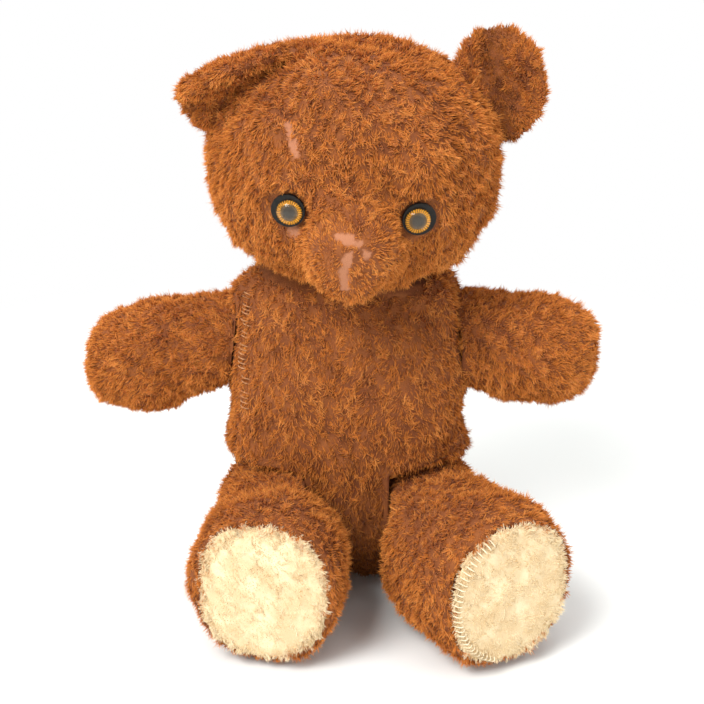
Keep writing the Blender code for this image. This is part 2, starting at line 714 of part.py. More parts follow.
def build_leg(side_name, side, name, place):
    """A leg on its hip: cover, filling, the pale pad in the sole's opening and the card behind it."""
    joint = empty(f"{name}_joint", place)
    hip = Matrix.Translation(place.translation)
    sole = foot_place(side_name, side)
    local = hip.inverted() @ place

    def shape(inset):
        return leg_solid(side_name, side, inset)

    opening = prism("opening", oval(PAD_HALF_HEIGHT, PAD_HALF_WIDTH, 24), -WALL - 0.004, 0.02)
    holes = [pin_hole(local), moved(opening, sole)]
    attach(cover_from(shape, f"{side_name}_leg_cover", holes), joint, hip)
    pad = sole_plate(PAD_HALF_HEIGHT - GAP, PAD_HALF_WIDTH - GAP, -WALL, 0.0, PAD_BULGE)
    attach(finish(pad, f"{side_name}_foot_pad", CREAM, 0.95), joint, hip @ sole)
    card_top = -WALL - GAP
    card_size = (PAD_HALF_HEIGHT + INSOLE_LAP, PAD_HALF_WIDTH + INSOLE_LAP)
    card = sole_plate(*card_size, card_top - INSOLE_THICKNESS, card_top)
    attach(finish(card, f"{side_name}_insole_card", CARD, 0.8), joint, hip @ sole)
    filling = leg_solid(side_name, side, WALL + GAP)
    out = sole.col[2].to_3d()
    cut_flat(filling, sole.translation + out * (card_top - INSOLE_THICKNESS - GAP), out)
    combine(filling, moved(joint_pocket("hip", True), local))
    attach(finish(filling, f"{side_name}_leg_filling", WOOL, 1.0), joint, hip)
    build_joint_side(joint, name, "hip", place)


def build_bear():
    """Everything, from an empty scene."""
    for thing in list(bpy.data.objects):
        remove(thing)
    root = empty("torso_root", Matrix.Identity(4))
    build_torso(root)
    build_head()
    for side_name, side in SIDES:
        build_arm(side_name, f"{side_name}_shoulder", shoulder_frame(side))
        build_leg(side_name, side, f"{side_name}_hip", hip_frame(side))


build_bear()
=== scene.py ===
# %% [markdown]
# # A seated plush bear with five disc joints
# The frame holds the bear as it was engineered: covers, fillings, cardboard discs, washers and split pins.
# This file dresses it. Each stuffed part gets a lumpy cloth skin, and a short woolly pile grows from each skin as
# real geometry. The eyes, the pale foot pads and the hand stitches are pieces of their own; the worn seams are bare
# lines in the cloth and the pile.

# %%
"""The frame: the engineered bear, read in from model.glb."""

import math

import bpy
import numpy as np
from mathutils import Matrix


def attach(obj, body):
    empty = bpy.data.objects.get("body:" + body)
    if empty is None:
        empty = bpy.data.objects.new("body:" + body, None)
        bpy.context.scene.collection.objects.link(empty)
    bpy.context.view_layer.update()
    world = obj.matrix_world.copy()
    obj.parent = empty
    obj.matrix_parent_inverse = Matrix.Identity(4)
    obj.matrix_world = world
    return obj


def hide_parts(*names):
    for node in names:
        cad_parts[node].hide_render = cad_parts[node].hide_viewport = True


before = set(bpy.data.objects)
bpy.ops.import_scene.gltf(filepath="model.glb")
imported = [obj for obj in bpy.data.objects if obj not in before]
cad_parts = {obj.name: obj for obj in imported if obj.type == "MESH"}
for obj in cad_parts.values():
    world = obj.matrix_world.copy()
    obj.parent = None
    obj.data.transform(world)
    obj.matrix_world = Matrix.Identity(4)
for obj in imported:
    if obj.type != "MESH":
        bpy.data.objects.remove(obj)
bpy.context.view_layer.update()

# %% [markdown]
# ## The tools
# Every surface is a function of two parameters that numpy works out for the whole grid at once. The same few
# functions make the closed meshes, the random lumps and the strands of the pile.

# %%
"""Arrays of places, and smooth changes between named stations."""
TURN = math.tau


def unit(vectors):
    """Vectors divided by their own lengths."""
    return vectors / np.maximum(np.linalg.norm(vectors, axis=-1, keepdims=True), 1e-12)


def ease(value, start, end):
    """0 before start, 1 after end, and the smooth step 3s^2 - 2s^3 between them."""
    share = np.clip((value - start) / (end - start), 0, 1)
    return share * share * (3 - 2 * share)


def along(value, stations):
    """A smooth value between stations, given as (place, value) pairs in rising order."""
    places, values = np.array(stations).T
    index = np.clip(np.searchsorted(places, value) - 1, 0, len(places) - 2)
    share = ease(value, places[index], places[index + 1])
    return values[index] * (1 - share) + values[index + 1] * share


def rounded(share, squareness):
    """How wide a stuffed shape is at this share of its half length: (1 - |s|^n)^(1/n)."""
    return (1 - np.clip(np.abs(share), 0, 1) ** squareness) ** (1 / squareness)


def squared(angle, squareness):
    """A point on a circle pushed out towards a square, |x|^n + |y|^n = 1."""
    x, y = np.cos(angle), np.sin(angle)
    reach = (np.abs(x) ** squareness + np.abs(y) ** squareness) ** (-1 / squareness)
    return x * reach, y * reach


def axes(axis, forward):
    """Three axes as rows: z along axis, x as near forward as it can be."""
    z = unit(np.array(axis, float))
    x = unit(np.array(forward, float) - z * (z @ np.array(forward, float)))
    return np.array((x, np.cross(z, x), z))


class Lumps:
    """A smooth random field: a sum of sine waves of about one length that run in many directions."""

    def __init__(self, seed, size, count=24):
        chance = np.random.default_rng(seed)
        ways = unit(chance.normal(size=(count, 3)))
        self.waves = ways * TURN / size * chance.uniform(0.7, 1.4, (count, 1))
        self.phases = chance.uniform(0, TURN, count)
        self.scale = math.sqrt(2 / count)

    def value(self, places):
        """The field itself, mostly between -2 and 2."""
        return np.sin(places @ self.waves.T + self.phases).sum(axis=1) * self.scale

    def slope(self, places):
        """The way the field rises, as a unit vector at the most."""
        rise = np.cos(places @ self.waves.T + self.phases) @ self.waves * self.scale
        return rise / np.linalg.norm(self.waves, axis=1).mean()


# %%
"""Closed meshes from a function of two parameters."""


class Skin:
    """A closed surface: its corners, its triangles and the way each corner faces."""

    def __init__(self, point, rows, columns):
        shares = (np.arange(rows) + 1) / (rows + 1)
        turns = TURN * np.arange(columns) / columns
        share, angle = (grid.ravel() for grid in np.meshgrid(shares, turns, indexing="ij"))
        ends = point(np.array([0.0, 1.0]), np.zeros(2))
        self.corners = np.concatenate([ends[:1], point(share, angle), ends[1:]])
        ring = np.arange(rows * columns).reshape(rows, columns) + 1
        after = np.roll(ring, -1, axis=1)
        low, low_after, high_after, high = ring[:-1], after[:-1], after[1:], ring[1:]
        self.faces = np.concatenate([
            np.stack([low, low_after, high_after], -1).reshape(-1, 3),
            np.stack([low, high_after, high], -1).reshape(-1, 3),
            np.stack([np.zeros_like(ring[0]), after[0], ring[0]], -1),
            np.stack([np.full_like(ring[0], rows * columns + 1), ring[-1], after[-1]], -1),
        ])
        first, second, third = self.corners[self.faces].transpose(1, 0, 2)
        if np.einsum("ij,ij->i", first, np.cross(second, third)).sum() < 0:
            self.faces = self.faces[:, ::-1]
        self.measure()

    def measure(self):
        """Works out each triangle's area and each corner's normal."""
        first, second, third = self.corners[self.faces].transpose(1, 0, 2)
        facing = np.cross(second - first, third - first)
        self.areas = np.linalg.norm(facing, axis=1) / 2
        total = np.zeros_like(self.corners)
        for corner in range(3):
            np.add.at(total, self.faces[:, corner], facing)
        self.normals = unit(total)

    def swell(self, field, height, mask=1.0, stretch=(1.0, 1.0, 1.0)):
        """Pushes each corner along its normal by a random field; a stretch below 1 draws it out that way."""
        rise = field.value(self.corners * np.array(stretch)) * height * mask
        self.corners = self.corners + self.normals * rise[:, None]
        self.measure()
        return self


def new_piece(name, corners, faces, material, body, uv=None, smooth=True, worn=None):
    """An object of triangles that rides on a body; uv holds one place for each triangle's corner, and worn how
    bare each corner is."""
    mesh = bpy.data.meshes.new(name)
    mesh.vertices.add(len(corners))
    mesh.vertices.foreach_set("co", np.ascontiguousarray(corners, dtype=np.float32).ravel())
    mesh.loops.add(faces.size)
    mesh.loops.foreach_set("vertex_index", np.ascontiguousarray(faces, dtype=np.int32).ravel())
    mesh.polygons.add(len(faces))
    mesh.polygons.foreach_set("loop_start", np.arange(0, faces.size, 3, dtype=np.int32))
    mesh.update(calc_edges=True)
    if uv is not None:
        layer = mesh.uv_layers.new(name="OFBake")
        layer.uv.foreach_set("vector", np.ascontiguousarray(uv, dtype=np.float32).ravel())
    if worn is not None:
        mesh.attributes.new("worn", "FLOAT", "POINT").data.foreach_set("value", worn.astype(np.float32))
    mesh.polygons.foreach_set("use_smooth", np.full(len(faces), smooth))
    mesh.materials.append(material)
    piece = bpy.data.objects.new(name, mesh)
    bpy.context.collection.objects.link(piece)
    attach(piece, body)
    return piece


def tubes(paths, radius, sides=6):
    """Closed threads: paths is (threads, points, 3), and each gets a round section and two end points."""
    count, points = paths.shape[:2]
    ways = unit(np.gradient(paths, axis=1))
    across = unit(np.cross(ways, np.array((0.31, 0.52, 0.79))))
    other = np.cross(ways, across)
    turns = TURN * np.arange(sides) / sides
    thick = radius * np.sqrt(np.clip(1 - np.linspace(-1, 1, points) ** 8, 0.2, 1))[None, :, None, None]
    round_ = across[:, :, None] * np.cos(turns)[:, None] + other[:, :, None] * np.sin(turns)[:, None]
    rings = paths[:, :, None] + round_ * thick
    corners = np.concatenate([rings.reshape(count, -1, 3), paths[:, :1], paths[:, -1:]], axis=1)
    ring = np.arange(points * sides).reshape(points, sides)
    after = np.roll(ring, -1, axis=1)
    one = np.concatenate([
        np.stack([ring[:-1], after[:-1], after[1:]], -1).reshape(-1, 3),
        np.stack([ring[:-1], after[1:], ring[1:]], -1).reshape(-1, 3),
        np.stack([np.full(sides, points * sides), after[0], ring[0]], -1),
        np.stack([np.full(sides, points * sides + 1), ring[-1], after[-1]], -1),
    ])
    faces = one[None] + (np.arange(count) * corners.shape[1])[:, None, None]
    return corners.reshape(-1, 3), faces.reshape(-1, 3)


# %% [markdown]
# ## The pile
# Mohair pile stands on its cloth in tufts and leans the way it was combed. Each strand here is a closed spike of
# four triangles. Its colour comes from a map of its own, in which one way across is the strand's tone and the
# other is the height above the cloth: painted shade darkens the roots and a painted highlight lightens the tips.

# %%
"""Strands that grow from a skin."""
TUFTS = Lumps(11, 0.0085)
CURLS = Lumps(12, 0.0040)
TONES = Lumps(13, 0.030)
FLOOR = 0.0006
PIECE_STRANDS = 48_000  # keeps each piece under 200,000 triangles


def spots(places, where):
    """How near places are to worn spots, from 0 to 1; each spot is (x, y, z, radius)."""
    near = np.zeros(len(places))
    for x, y, z, radius in where:
        away = np.linalg.norm(places - np.array((x, y, z)), axis=1)
        near = np.maximum(near, 1 - ease(away, radius * 0.5, radius))
    return near


def near_line(places, line, radius):
    """How near places are to a broken line, from 0 to 1."""
    near = np.zeros(len(places))
    for start, end in zip(np.array(line[:-1]), np.array(line[1:])):
        way = end - start
        share = np.clip((places - start) @ way / (way @ way), 0, 1)
        away = np.linalg.norm(places - start - share[:, None] * way, axis=1)
        near = np.maximum(near, 1 - ease(away, radius * 0.4, radius))
    return near


def strands(skin, count, length, comb, seed, cover=None, lean=0.60, width=0.00038, tone=0.5, painted_shade=None):
    """Roots spread evenly over a skin, and tips that lean along comb and gather into tufts.

    comb(roots) is the way the pile lies, cover(roots) its share of the full length, 0 where it is bare, and the
    painted-shade function how much painted shade darkens it."""
    chance = np.random.default_rng(seed)
    picked = chance.choice(len(skin.faces), size=count, p=skin.areas / skin.areas.sum())
    mix = chance.random((count, 2))
    mix = np.where(mix.sum(axis=1, keepdims=True) > 1, 1 - mix, mix)
    weights = np.column_stack([1 - mix.sum(axis=1), mix])[:, :, None]
    roots = (skin.corners[skin.faces[picked]] * weights).sum(axis=1)
    normals = unit((skin.normals[skin.faces[picked]] * weights).sum(axis=1))
    share = np.ones(count) if cover is None else cover(roots)
    kept = chance.random(count) < np.clip(share * 1.6, 0, 1)
    kept &= share > 0.02
    roots, normals, share = roots[kept], normals[kept], share[kept]
    count = len(roots)
    combed = comb(roots)
    combed = unit(combed - normals * np.einsum("ij,ij->i", combed, normals)[:, None])
    way = normals * (1 - lean) + combed * lean
    way = way + 0.75 * TUFTS.slope(roots) + 0.45 * CURLS.slope(roots) + 0.17 * chance.normal(size=(count, 3))
    lift = np.einsum("ij,ij->i", way, normals)
    way = unit(way + normals * np.maximum(0.30 - lift, 0)[:, None])
    tall = length * share * chance.uniform(0.65, 1.2, count) * (1 + 0.16 * TUFTS.value(roots))
    tips = roots + way * tall[:, None]
    tips[:, 2] = np.maximum(tips[:, 2], FLOOR)
    side = unit(np.cross(way, chance.normal(size=(count, 3))))
    other = np.cross(way, side)
    turns = TURN * np.arange(3) / 3
    base = roots - normals * 0.0005
    base[:, 2] = np.maximum(base[:, 2], FLOOR)
    section = side[:, None] * np.cos(turns)[:, None] + other[:, None] * np.sin(turns)[:, None]
    corners = np.concatenate([base[:, None] + section * width, tips[:, None]], axis=1)
    corners[:, :, 2] = np.maximum(corners[:, :, 2], FLOOR * 0.8)
    tones = tone + 0.07 * TONES.value(roots) + 0.10 * TUFTS.value(roots) + 0.13 * chance.normal(size=count)
    # Painted shade: lowers the tone of strands where shade falls.
    if painted_shade is not None:
        tones = tones - painted_shade(roots)
    return corners, np.clip(tones, 0.02, 0.98)


def pile(name, made, material, body, stands_for=None):
    """Makes strands into pieces of at most PIECE_STRANDS each."""
    corners, tones = made
    one = np.array([(0, 2, 1), (0, 1, 3), (1, 2, 3), (2, 0, 3)])
    spread = np.array((-0.006, 0.0, 0.006, 0.0))
    heights = np.array((0.03, 0.06, 0.03, 0.97))
    made_pieces = []
    for number, start in enumerate(range(0, len(corners), PIECE_STRANDS)):
        part, part_tones = corners[start:start + PIECE_STRANDS], tones[start:start + PIECE_STRANDS]
        faces = (one[None] + 4 * np.arange(len(part))[:, None, None]).reshape(-1, 3)
        across = part_tones[:, None] + spread
        places = np.stack([across, np.broadcast_to(heights, across.shape)], -1)
        uv = places[:, one].reshape(-1, 2)
        piece = new_piece(f"{name}_{number + 1}", part.reshape(-1, 3), faces, material, body, uv, smooth=False)
        made_pieces.append(piece)
    print(name, len(corners), "strands in", len(made_pieces), "pieces")
    return made_pieces


# %% [markdown]
# ## Materials
# A small wrapper lets the shaders be written as sums. The pile reads its own map; the cloth, card and steel read
# places on the object.

# %%
"""The wrapper, and the materials."""


class Term:
    """A value in a material that can be added, multiplied and so on."""

    def __init__(self, tree, socket):
        self.tree, self.socket = tree, socket

    def make(self, kind, settings=None, inputs=None, output=0):
        """Adds any node, with its settings and inputs, and gives one of its outputs."""
        node = self.tree.nodes.new(kind)
        for key, value in (settings or {}).items():
            setattr(node, key, value)
        for key, value in (inputs or {}).items():
            if isinstance(value, Term):
                self.tree.links.new(value.socket, node.inputs[key])
            else:
                node.inputs[key].default_value = value
        return Term(self.tree, node.outputs[output])

    def maths(self, operation, first, second=0.0):
        """One step of arithmetic."""
        return self.make("ShaderNodeMath", {"operation": operation}, {0: first, 1: second})

    def __add__(self, other):
        return self.maths("ADD", self, other)

    __radd__ = __add__

    def __sub__(self, other):
        return self.maths("SUBTRACT", self, other)

    def __rsub__(self, other):
        return self.maths("SUBTRACT", other, self)

    def __mul__(self, other):
        return self.maths("MULTIPLY", self, other)

    __rmul__ = __mul__

    def __truediv__(self, other):
        return self.maths("DIVIDE", self, other)

    def __pow__(self, other):
        return self.maths("POWER", self, other)

    def step(self, start, end):
        """0 below start and 1 above end, smoothly."""
        inputs = {0: self, 1: start, 2: end, 3: 0.0, 4: 1.0}
        return self.make("ShaderNodeMapRange", {"interpolation_type": "SMOOTHSTEP"}, inputs)

    def between(self, first, second):
        """A colour between two others, as far along as this value says."""
        colours = [c if isinstance(c, Term) else (*c, 1.0) for c in (first, second)]
        inputs = {0: self, 6: colours[0], 7: colours[1]}
        return self.make("ShaderNodeMix", {"data_type": "RGBA"}, inputs, 2)

    def noise(self, places, scale, detail=3.0):
        """Soft random blotches."""
        return self.make("ShaderNodeTexNoise", None, {"Vector": places, "Scale": scale, "Detail": detail})


def material(name, **values):
    """A plain Principled material: gives the material, its shader and a first Term."""
    made = bpy.data.materials.new(name)
    made.use_nodes = True
    shader = made.node_tree.nodes["Principled BSDF"]
    for key, value in values.items():
        shader.inputs[key.replace("_", " ")].default_value = value
    return made, shader, Term(made.node_tree, None)


def join(term, shader, name):
    """Links a Term to one of the shader's sockets."""
    term.tree.links.new(term.socket, shader.inputs[name])


def pile_material(name, shaded_root, middle, tip, light):
    """Pile: painted shade dark at the root and a painted highlight pale at the tip; the strand's tone, lowered by
    painted shade in places, makes it duller or brighter.
    """
    made, shader, term = material(name, Roughness=0.85, Sheen_Weight=0.10, Sheen_Roughness=0.5)
    shader.inputs["Specular IOR Level"].default_value = 0.2
    spot = term.make("ShaderNodeUVMap", {"uv_map": "OFBake"})
    split = term.make("ShaderNodeSeparateXYZ", None, {0: spot})
    tone, height = split, Term(split.tree, split.socket.node.outputs[1])
    # Painted shade at the root, rising to the pile's own colour, then a painted highlight at the tip; low tones,
    # random or from painted shade, fall back to the root's dark.
    low = height.step(0.0, 0.5).between(shaded_root, middle)
    high = height.step(0.35, 1.0).between(low, tip)
    bright = tone.step(0.45, 1.0).between(high, light)
    dull_and_shade = tone.step(0.0, 0.45).between(shaded_root, bright)
    mixed = term.make("ShaderNodeMix", {"data_type": "RGBA"}, {0: 0.45, 6: high, 7: dull_and_shade}, 2)
    join(mixed, shader, "Base Color")
    return made


def cloth_material(name, dark, pale, bare=(0.40, 0.160, 0.078)):
    """Backing cloth: a fine weave in relief with soft blotches of colour, paler and pinker where it is worn."""
    made, shader, term = material(name, Roughness=0.95)
    places = term.make("ShaderNodeTexCoord", output=3)
    blotch = term.noise(places, 90.0)
    fresh = blotch.step(0.35, 0.7).between(dark, pale)
    worn = term.make("ShaderNodeAttribute", {"attribute_name": "worn"}, None, 2)
    edge = (worn + (term.noise(places, 500.0) - 0.5) * 0.9).step(0.15, 0.75)
    join(edge.between(fresh, bare), shader, "Base Color")
    threads = term.make("ShaderNodeTexVoronoi", None, {"Vector": places, "Scale": 1400.0})
    bump = term.make("ShaderNodeBump", None, {"Strength": 0.5, "Distance": 0.0004, "Height": threads})
    join(bump, shader, "Normal")
    return made


def solid_material(name, dark, pale, scale, relief, **values):
    """Card, steel, thread or paint: two near shades in fine blotches, with a little relief."""
    made, shader, term = material(name, **values)
    places = term.make("ShaderNodeTexCoord", output=3)
    blotch = term.noise(places, scale)
    join(blotch.step(0.3, 0.7).between(dark, pale), shader, "Base Color")
    bump = term.make("ShaderNodeBump", None, {"Strength": 0.4, "Distance": relief, "Height": blotch})
    join(bump, shader, "Normal")
    return made


# In each pile the first colour is painted shade at the root and the third a painted highlight at the tip.
PLUSH = pile_material("plush_pile", (0.085, 0.019, 0.003), (0.43, 0.118, 0.014), (0.74, 0.262, 0.046),
                      (0.90, 0.40, 0.10))
CREAM = pile_material("cream_pile", (0.50, 0.34, 0.17), (0.80, 0.62, 0.36), (0.93, 0.80, 0.56),
                      (0.97, 0.88, 0.70))
BACKING = cloth_material("backing_cloth", (0.17, 0.045, 0.009), (0.27, 0.080, 0.016))
PAD_CLOTH = cloth_material("pad_cloth", (0.70, 0.52, 0.30), (0.85, 0.70, 0.46))
CARD = solid_material("card", (0.24, 0.16, 0.09), (0.36, 0.26, 0.15), 260.0, 0.0002, Roughness=0.85)
STEEL = solid_material("steel", (0.45, 0.45, 0.46), (0.62, 0.62, 0.63), 400.0, 0.00003, Roughness=0.35,
                       Metallic=1.0)
EYE_BLACK = solid_material("eye_black", (0.006, 0.005, 0.004), (0.014, 0.011, 0.009), 500.0, 0.00002,
                           Roughness=0.45, Specular_IOR_Level=0.2)
THREAD = solid_material("thread", (0.36, 0.15, 0.055), (0.55, 0.28, 0.13), 900.0, 0.0001, Roughness=0.8)
CREAM_THREAD = solid_material("cream_thread", (0.76, 0.62, 0.40), (0.90, 0.80, 0.60), 900.0, 0.0001,
                              Roughness=0.8)
print(len(bpy.data.materials), "materials")

# %% [markdown]
# ## The torso
# A squared barrel that is flat where the neck, the arms and the seat meet it, and cut away where the thighs turn.
# The cloth lies a little inside the engineered shape, so that the pile's tips make up the outline.

# %%
"""The torso's skin and pile."""
SKIN_DEPTH = 0.0022  # of the cloth under the engineered outline
NECK = np.array((0, 0, 0.198))
NECK_AXES = axes((math.sin(math.radians(4)), -math.sin(math.radians(6)),
                  math.cos(math.radians(6)) * math.cos(math.radians(4))), (1, 0, 0))
SHOULDER = {side: np.array((sign * 0.068, 0, 0.150)) for side, sign in (("right", -1), ("left", 1))}
SHOULDER_AXES = {side: axes((sign * math.cos(math.radians(4)), -math.sin(math.radians(4)),
                             math.sin(math.radians(7))), (0, -1, 0))
                 for side, sign in (("right", -1), ("left", 1))}
HIP = {side: np.array((sign * 0.025, -0.018, 0.044)) for side, sign in (("right", -1), ("left", 1))}
SIGNS = {"right": -1, "left": 1}
THIGH_ROOM = 0.0385
BODY_LUMPS = Lumps(21, 0.045)


def in_thigh_room(places, extra=0.0):
    """True where a thigh turns: its circle, and all in front of it and below."""
    ahead, up = -0.018 - places[:, 1], places[:, 2] - 0.044
    radius = THIGH_ROOM + extra
    front = (ahead > 0) & (up < radius)
    ring = (up > 0.006) & (ahead**2 + up**2 < radius**2)
    low = (up <= 0.006) & (ahead > -radius - 0.14 * (0.006 - up))
    return front | ring | low


def torso_point(share, angle):
    """Half widths and depths along the height, times a squared circle, then flattened at each joint."""
    place = -np.cos(math.pi * share)
    height = 0.0965 + (0.1085 - SKIN_DEPTH) * place
    size = rounded(place, 4.2)
    across, deep = squared(angle, 3.0)
    widths = ((-0.012, 0.066), (0.030, 0.073), (0.070, 0.0745), (0.105, 0.0710), (0.130, 0.0740),
              (0.180, 0.0740), (0.205, 0.070))
    depths = ((-0.012, 0.052), (0.050, 0.058), (0.090, 0.058), (0.205, 0.047))
    x = (along(height, widths) - SKIN_DEPTH) * size * across
    y = (along(height, depths) - SKIN_DEPTH) * size * deep + 0.004
    places = np.stack([x, y, height], -1)
    under = unit(np.array((0.0, -1.0, -1.0)))
    flats = [(np.array((0, 0, 0.001)), np.array((0.0, 0.0, -1.0))), (np.array((0, -0.016, 0)), under),
             (NECK, NECK_AXES[2])]
    flats += [(SHOULDER[side], SHOULDER_AXES[side][2]) for side in SIGNS]
    for origin, axis in flats:
        depth = (places - origin) @ axis + 0.0004
        places = places - axis * np.maximum(depth, 0)[:, None]
    inside = in_thigh_room(places, SKIN_DEPTH)
    limit = 0.025 - 0.0004
    places[:, 0] = np.where(inside, np.clip(places[:, 0], -limit, limit), places[:, 0])
    return places


def torso_mask(places):
    """1 on the open cloth, 0 where another part lies against it."""
    open_ = ease(places[:, 2], 0.001, 0.004) * np.where(in_thigh_room(places, 0.0005) & (np.abs(places[:, 0]) > 0.022) , 0.0, 1.0)
    for side, sign in SIGNS.items():
        local = (places - SHOULDER[side]) @ SHOULDER_AXES[side].T
        away = np.hypot(local[:, 0], local[:, 1])
        touching = (local[:, 2] > -0.004) & (away < 0.0255)
        open_ = np.where(touching, 0.0, open_)
    local = (places - NECK) @ NECK_AXES.T
    return np.where((local[:, 2] > -0.005) & (np.hypot(local[:, 0], local[:, 1]) < 0.05), 0.0, open_)


STITCH_LINE = [(-0.0640, -0.030, 0.197), (-0.0660, -0.036, 0.178), (-0.0655, -0.040, 0.158),
               (-0.0665, -0.044, 0.138), (-0.0690, -0.046, 0.118)]
WORN_TORSO = [(0.027, -0.058, 0.098, 0.006), (0.030, -0.056, 0.104, 0.004)]


def torso_cover(roots):
    """The pile's share of its length on the torso: bare at the joints and worn at the edge and the belly."""
    worn = np.maximum(spots(roots, WORN_TORSO), near_line(roots, STITCH_LINE, 0.0075) * 0.75)
    return torso_mask(roots) * (1 - 0.9 * worn)


def downwards(roots):
    """The pile hangs down, with a slow sway."""
    sway = Lumps(31, 0.06).value(roots)
    return np.stack([0.35 * sway, np.full(len(roots), -0.15), np.full(len(roots), -1.0)], -1)


def torso_painted_shade(roots):
    """Painted shade: the pile is duller low down between the legs, in the recess beside the left arm and at the top
    under the head.
    """
    low = 0.45 * (1 - ease(roots[:, 2], 0.045, 0.095)) + 0.12 * (1 - ease(roots[:, 2], 0.09, 0.14))
    recess = 0.5 * near_line(roots, [(0.066, -0.034, 0.182), (0.066, -0.040, 0.125)], 0.008)
    return low + recess + 0.25 * ease(roots[:, 2], 0.186, 0.198)


DENSITY = 1.0


def many(count):
    return int(count * DENSITY)


def skin_piece(name, skin, body, stands_for, worn=None, cloth=BACKING):
    """A stuffed skin that stands for the engineered cover and its filling; worn says where the pile is gone."""
    bare = np.zeros(len(skin.corners)) if worn is None else worn(skin.corners)
    piece = new_piece(name, skin.corners, skin.faces, cloth, body, worn=bare)
    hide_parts(*stands_for)
    return piece


torso = Skin(torso_point, 110, 150)
torso.swell(BODY_LUMPS, 0.0011, torso_mask(torso.corners))
torso.swell(Lumps(30, 0.016), 0.0006, torso_mask(torso.corners), (1.0, 1.0, 0.2))
torso.corners[:, 2] = np.maximum(torso.corners[:, 2], FLOOR)
torso.measure()


def torso_worn(places):
    """Where the torso's cloth shows through."""
    return np.maximum(spots(places, WORN_TORSO), near_line(places, STITCH_LINE, 0.006) * 0.8)


skin_piece("torso_skin", torso, "torso", ("torso_cover", "torso_filling"), torso_worn)
pile("torso_pile", strands(torso, many(88_000), 0.0043, downwards, 41, torso_cover, painted_shade=torso_painted_shade), PLUSH, "torso")

# %% [markdown]
# ## The head
# A squared ball with the muzzle as a soft swelling. The pile parts at the muzzle and lies back from it.

# %%
"""The head's skin and pile."""
HEAD_MIDDLE = np.array((0, -0.002, 0.0640))
EYE_TONE = {}


def head_reach(ways):
    """How far the surface lies from the head's middle, by a power sum of the three half sizes plus the muzzle."""
    across = (np.abs(ways[:, 0]) / 0.0825) ** 2.2 + (np.abs(ways[:, 1]) / 0.074) ** 2.2
    reach = (across ** (2.3 / 2.2) + (np.abs(ways[:, 2]) / np.where(ways[:, 2] > 0, 0.0660, 0.0695)) ** 2.3) ** (-1 / 2.3)
    level = np.arctan2(ways[:, 2], np.hypot(ways[:, 0], ways[:, 1])) + math.radians(16)
    turn = np.arctan2(ways[:, 0], -ways[:, 1])
    upright = np.where(level > 0, math.radians(17), math.radians(24))
    away = (turn / math.radians(18)) ** 2 + (level / upright) ** 2
    return reach + np.where(ways[:, 1] < 0, 0.029 * np.exp(-(away**1.9)), 0)


def from_neck(places):
    """From the neck's frame to the bear's."""
    return places @ NECK_AXES + NECK


def to_neck(places):
    """From the bear's frame to the neck's."""
    return (places - NECK) @ NECK_AXES.T


def eye_seat(side):
    """An eye's origin and axes in the neck's frame: its z looks out of the head."""
    out = unit(np.array((SIGNS[side] * 0.20, -1.0, -0.06)))
    x, z, deep = SIGNS[side] * 0.035, -0.008, 0.074
    for _ in range(8):
        reached = head_reach(unit(np.array([(x, -deep, z)])))[0]
        deep = math.sqrt(max(reached**2 - x * x - z * z, 0))
    return HEAD_MIDDLE + np.array((x, -deep, z)) - out * 0.0040, axes(out, (0, 0, 1))


EYES = {side: eye_seat(side) for side in SIGNS}


def head_point(share, angle):
    """Directions over a ball, crowded round the face, each reaching to the head's surface."""
    level = math.pi * (share - 0.5)
    turn = angle - 0.3 * np.cos(angle)
    ways = np.stack([np.cos(level) * np.cos(turn), np.cos(level) * np.sin(turn), np.sin(level)], -1)
    places = HEAD_MIDDLE + ways * (head_reach(ways) - SKIN_DEPTH)[:, None]
    places[:, 2] = np.maximum(places[:, 2], 0.0012)
    return from_neck(places)


def sink_eyes(places):
    """Dents the cloth under each eye, so that the eye sits in the pile."""
    local = to_neck(places)
    for origin, own in EYES.values():
        eye = (local - origin) @ own.T
        away = np.hypot(eye[:, 0], eye[:, 1])
        wanted = -0.0004 + 0.004 * ease(away, 0.0098, 0.0150)
        depth = np.where((away < 0.0150) & (eye[:, 2] > -0.02), np.maximum(eye[:, 2] - wanted, 0), 0)
        local = local - own[2] * depth[:, None]
    return from_neck(local)


head = Skin(head_point, 120, 170)


def on_face(x, z):
    """The place on the head's front that lies at this x and z."""
    away = np.hypot(head.corners[:, 0] - x, head.corners[:, 2] - z) + 0.2 * (head.corners[:, 1] > 0)
    return (x, head.corners[away.argmin(), 1], z)


WORN_HEAD = [(*on_face(x, z), radius) for x, z, radius in ((0.0105, 0.2335, 0.0045), (-0.0285, 0.2360, 0.0065))]
WORN_LINES = [[on_face(x, z) for x, z in line] for line in (
    ((-0.0310, 0.2945), (-0.0285, 0.2870), (-0.0260, 0.2790)), ((-0.0050, 0.2435), (0.0065, 0.2390)),
    ((0.0015, 0.2330), (-0.0015, 0.2240), (-0.0005, 0.2150)))]


def head_worn(places):
    """Where the head's cloth shows through: the forehead, the nose and its seam."""
    lines = [near_line(places, line, 0.0034) for line in WORN_LINES]
    return np.maximum.reduce([spots(places, WORN_HEAD) * 0.8, *lines])


def head_cover(roots):
    """The pile's share of its length on the head: shorter on the muzzle, none under the eyes."""
    local = to_neck(roots)
    share = ease(local[:, 2], 0.002, 0.006)
    muzzle = np.linalg.norm(roots - np.array((0.003, -0.098, 0.232)), axis=1)
    share = share * (0.55 + 0.45 * ease(muzzle, 0.012, 0.040))
    for origin, own in EYES.values():
        eye = (local - origin) @ own.T
        away = np.hypot(eye[:, 0], eye[:, 1])
        share = share * np.where(eye[:, 2] > -0.02, 0.02 + 0.98 * ease(away, 0.0092, 0.0150), 1)
        share = np.where((away < 0.0100) & (eye[:, 2] > -0.02), 0, share)
    return share * (1 - 0.86 * head_worn(roots))


